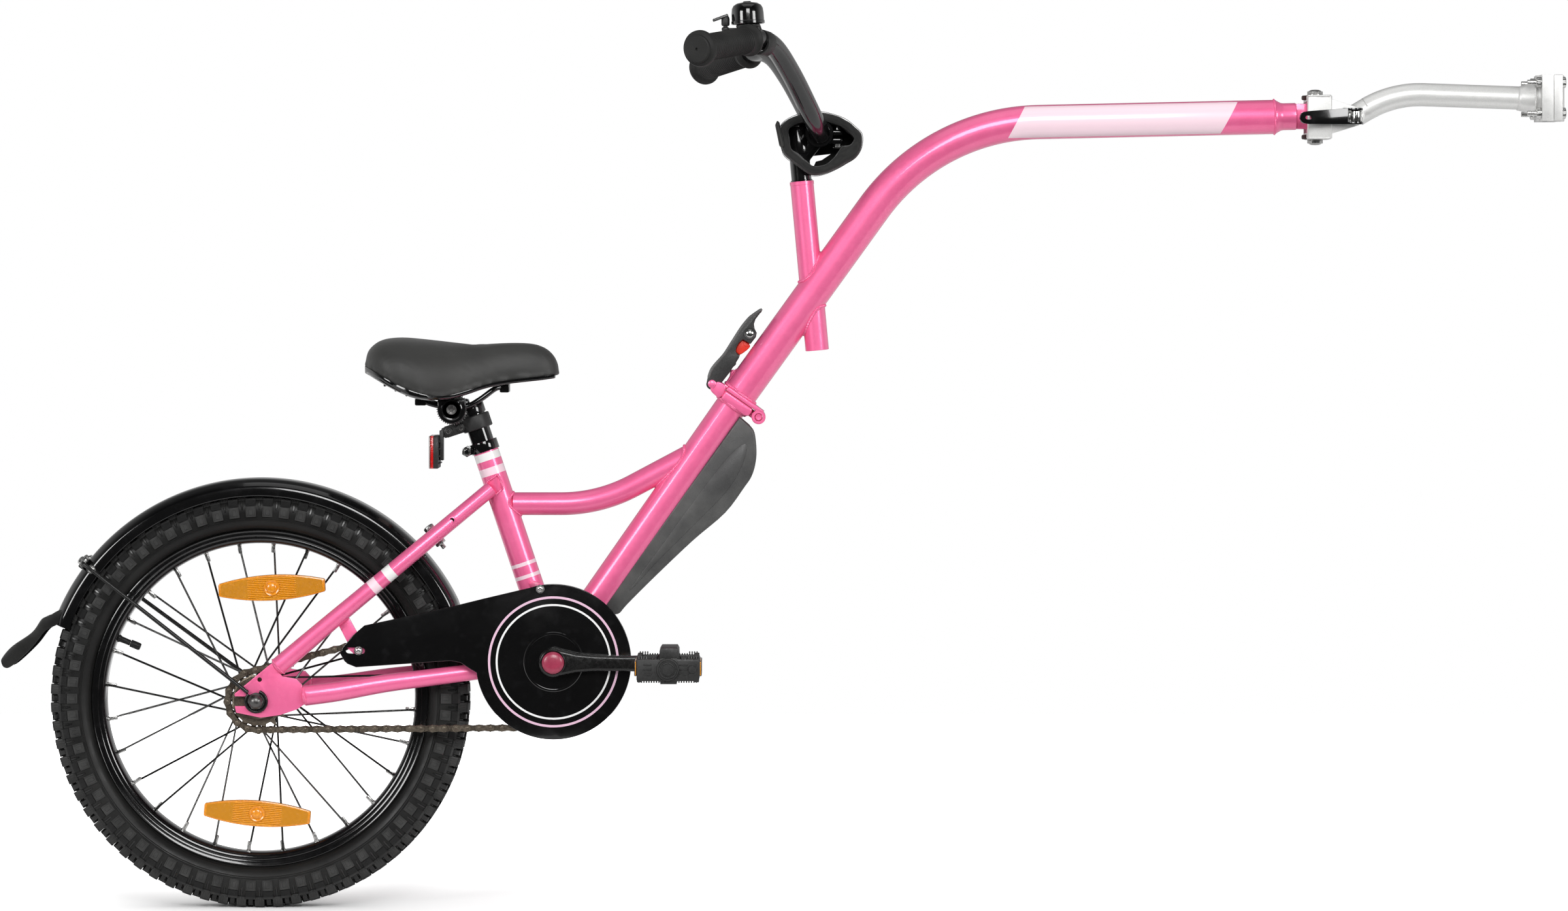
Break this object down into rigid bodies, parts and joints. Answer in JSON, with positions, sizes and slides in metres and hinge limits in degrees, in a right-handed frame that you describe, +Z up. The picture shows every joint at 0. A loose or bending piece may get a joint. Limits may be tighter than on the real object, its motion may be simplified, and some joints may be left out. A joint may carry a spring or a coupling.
{
  "type": "child bike trailer",
  "caption": "Half-bicycle that a child rides behind an adult's bicycle: bent boom with hitch and seatpost clamp, folding hinge, handlebar, saddle, cranks and chain to its own wheel.",
  "frame": {"origin": "under the middle of the trailer's box, at the level of the wheel's foot", "axes": "+X towards the bicycle that tows it, +Z up, -Y the chain side"},
  "size_m": [1.728, 0.5638, 0.9943],
  "materials": {
    "pink_paint": "glossy enamel under clear coat",
    "black_paint": "semi-gloss black enamel",
    "black_plastic": "satin moulded plastic",
    "black_rubber": "matt rubber",
    "tyre_rubber": "matt tread rubber",
    "bright_steel": "zinc-plated steel",
    "chrome": "mirror chrome",
    "silver_paint": "silver metallic paint",
    "red_plastic": "glossy red plastic",
    "amber_plastic": "prismatic amber lens",
    "black_vinyl": "matt vinyl saddle cover",
    "black_cloth": "padded nylon cloth"
  },
  "bodies": {
    "rear_frame": {"seat_tube": "pink_paint", "bb_shell": "pink_paint", "down_tube": "pink_paint", "mid_tube": "pink_paint", "chainstay_right": "pink_paint", "chainstay_left": "pink_paint", "seatstay_right": "pink_paint", "seatstay_left": "pink_paint", "dropout_right": "pink_paint", "dropout_left": "pink_paint", "rear_flange": "pink_paint", "hinge_pin": "pink_paint", "wheel_axle": "black_paint", "seat_collar": "black_paint", "frame_guard": "black_plastic", "chain_guard": "black_plastic", "chain": "bright_steel", "mudguard": "black_plastic", "mudflap": "black_rubber", "mudguard_stay": "black_paint"},
    "wheel": {"tyre": "tyre_rubber", "inner_tube": "black_rubber", "rim": "black_paint", "wheel_hub": "black_paint", "wheel_reflector_upper": "amber_plastic", "wheel_reflector_lower": "amber_plastic"},
    "freewheel": {"freewheel_sprocket": "bright_steel"},
    "crank": {"chainring": "black_paint", "bb_axle": "bright_steel", "crank_right": "black_paint", "crank_left": "black_paint"},
    "pedal_near": {"pedal_right": "black_plastic"},
    "pedal_far": {"pedal_left": "black_plastic"},
    "front_frame": {"front_tube": "pink_paint", "front_flange": "pink_paint", "head_tube": "pink_paint"},
    "lever": {"latch_lever": "black_plastic"},
    "clasp": {"latch_clasp": "pink_paint"},
    "catch": {"safety_catch": "red_plastic"},
    "stem_set": {"stem": "black_paint", "stem_pad": "black_cloth"},
    "bar_set": {"handlebar": "black_paint", "grip_right": "black_rubber", "grip_left": "black_rubber", "bell": "black_plastic"},
    "bell_thumb": {"bell_lever": "black_plastic"},
    "hitch_yoke": {"hitch_block": "silver_paint", "yaw_bolt": "bright_steel", "qr_skewer": "chrome"},
    "quick_lever": {"qr_lever": "black_plastic"},
    "tow_bar": {"tow_arm": "silver_paint", "clamp_cap": "silver_paint"},
    "post": {"seatpost": "chrome", "reflector_bracket": "black_plastic", "rear_reflector": "red_plastic"},
    "saddle": {"saddle_clamp": "black_paint", "saddle_rails": "black_paint", "saddle_shell": "black_plastic", "saddle_cover": "black_vinyl"}
  },
  "joints": [
    {"name": "wheel_spin", "type": "hinge", "parent": "rear_frame", "child": "wheel", "pos_m": [-0.57955, 0, 0.2312], "axis": [0, 1, 0], "continuous": true},
    {"name": "crank_spin", "type": "hinge", "parent": "rear_frame", "child": "crank", "pos_m": [-0.25385, 0, 0.27395], "axis": [0, 1, 0], "continuous": true, "deforming": ["chain"]},
    {"name": "sprocket_spin", "type": "hinge", "parent": "rear_frame", "child": "freewheel", "pos_m": [-0.57955, 0, 0.2312], "axis": [0, 1, 0], "continuous": true},
    {"name": "pedal_right_spin", "type": "hinge", "parent": "crank", "child": "pedal_near", "pos_m": [-0.12686, 0, 0.27228], "axis": [0, 1, 0], "continuous": true},
    {"name": "pedal_left_spin", "type": "hinge", "parent": "crank", "child": "pedal_far", "pos_m": [-0.38084, 0, 0.27561], "axis": [0, 1, 0], "continuous": true},
    {"name": "frame_fold", "type": "hinge", "parent": "rear_frame", "child": "front_frame", "pos_m": [-0.02865, 0, 0.54153], "axis": [0, 1, 0], "range_deg": [0, 150]},
    {"name": "latch_lever_turn", "type": "hinge", "parent": "front_frame", "child": "lever", "pos_m": [-0.08001, 0, 0.5782], "axis": [0, -1, 0], "range_deg": [0, 110]},
    {"name": "latch_clasp_turn", "type": "hinge", "parent": "front_frame", "child": "clasp", "pos_m": [-0.08001, 0, 0.5782], "axis": [0, -1, 0], "range_deg": [0, 11]},
    {"name": "safety_catch_turn", "type": "hinge", "parent": "lever", "child": "catch", "pos_m": [-0.03825, 0, 0.63375], "axis": [0, 1, 0], "range_deg": [0, 4.5], "stiffness_Nm_per_rad": 0.6, "springref_deg": -8.59},
    {"name": "stem_slide", "type": "slide", "parent": "front_frame", "child": "stem_set", "axis": [-0.0915, 0, 0.9958], "range_m": [0, 0.05]},
    {"name": "handlebar_tilt", "type": "hinge", "parent": "stem_set", "child": "bar_set", "pos_m": [0.03845, 0, 0.85545], "axis": [0, 1, 0], "range_deg": [-15, 15]},
    {"name": "bell_lever_turn", "type": "hinge", "parent": "bar_set", "child": "bell_thumb", "pos_m": [-0.04855, -0.149, 0.96595], "axis": [0, 0, 1], "range_deg": [0, 25], "stiffness_Nm_per_rad": 0.05, "springref_deg": -17.19},
    {"name": "hitch_yaw", "type": "hinge", "parent": "front_frame", "child": "hitch_yoke", "pos_m": [0.58785, 0, 0.87295], "axis": [0, 0, 1], "range_deg": [-34, 34]},
    {"name": "tow_arm_pitch", "type": "hinge", "parent": "hitch_yoke", "child": "tow_bar", "pos_m": [0.63045, 0, 0.87355], "axis": [0, 1, 0], "range_deg": [-50, 60]},
    {"name": "qr_lever_turn", "type": "hinge", "parent": "hitch_yoke", "child": "quick_lever", "pos_m": [0.63045, -0.0288, 0.87355], "axis": [0, 0, 1], "range_deg": [0, 170]},
    {"name": "seatpost_slide", "type": "slide", "parent": "rear_frame", "child": "post", "axis": [-0.3173, 0, 0.9483], "range_m": [-0.01, 0.06]},
    {"name": "saddle_tilt", "type": "hinge", "parent": "post", "child": "saddle", "pos_m": [-0.36735, 0, 0.54995], "axis": [0, 1, 0], "range_deg": [-12, 12]}
  ],
  "couplings": [
    {"joint": "sprocket_spin", "follows": "crank_spin", "ratio": 2.25},
    {"joint": "latch_clasp_turn", "follows": "latch_lever_turn", "ratio": 0.1}
  ]
}
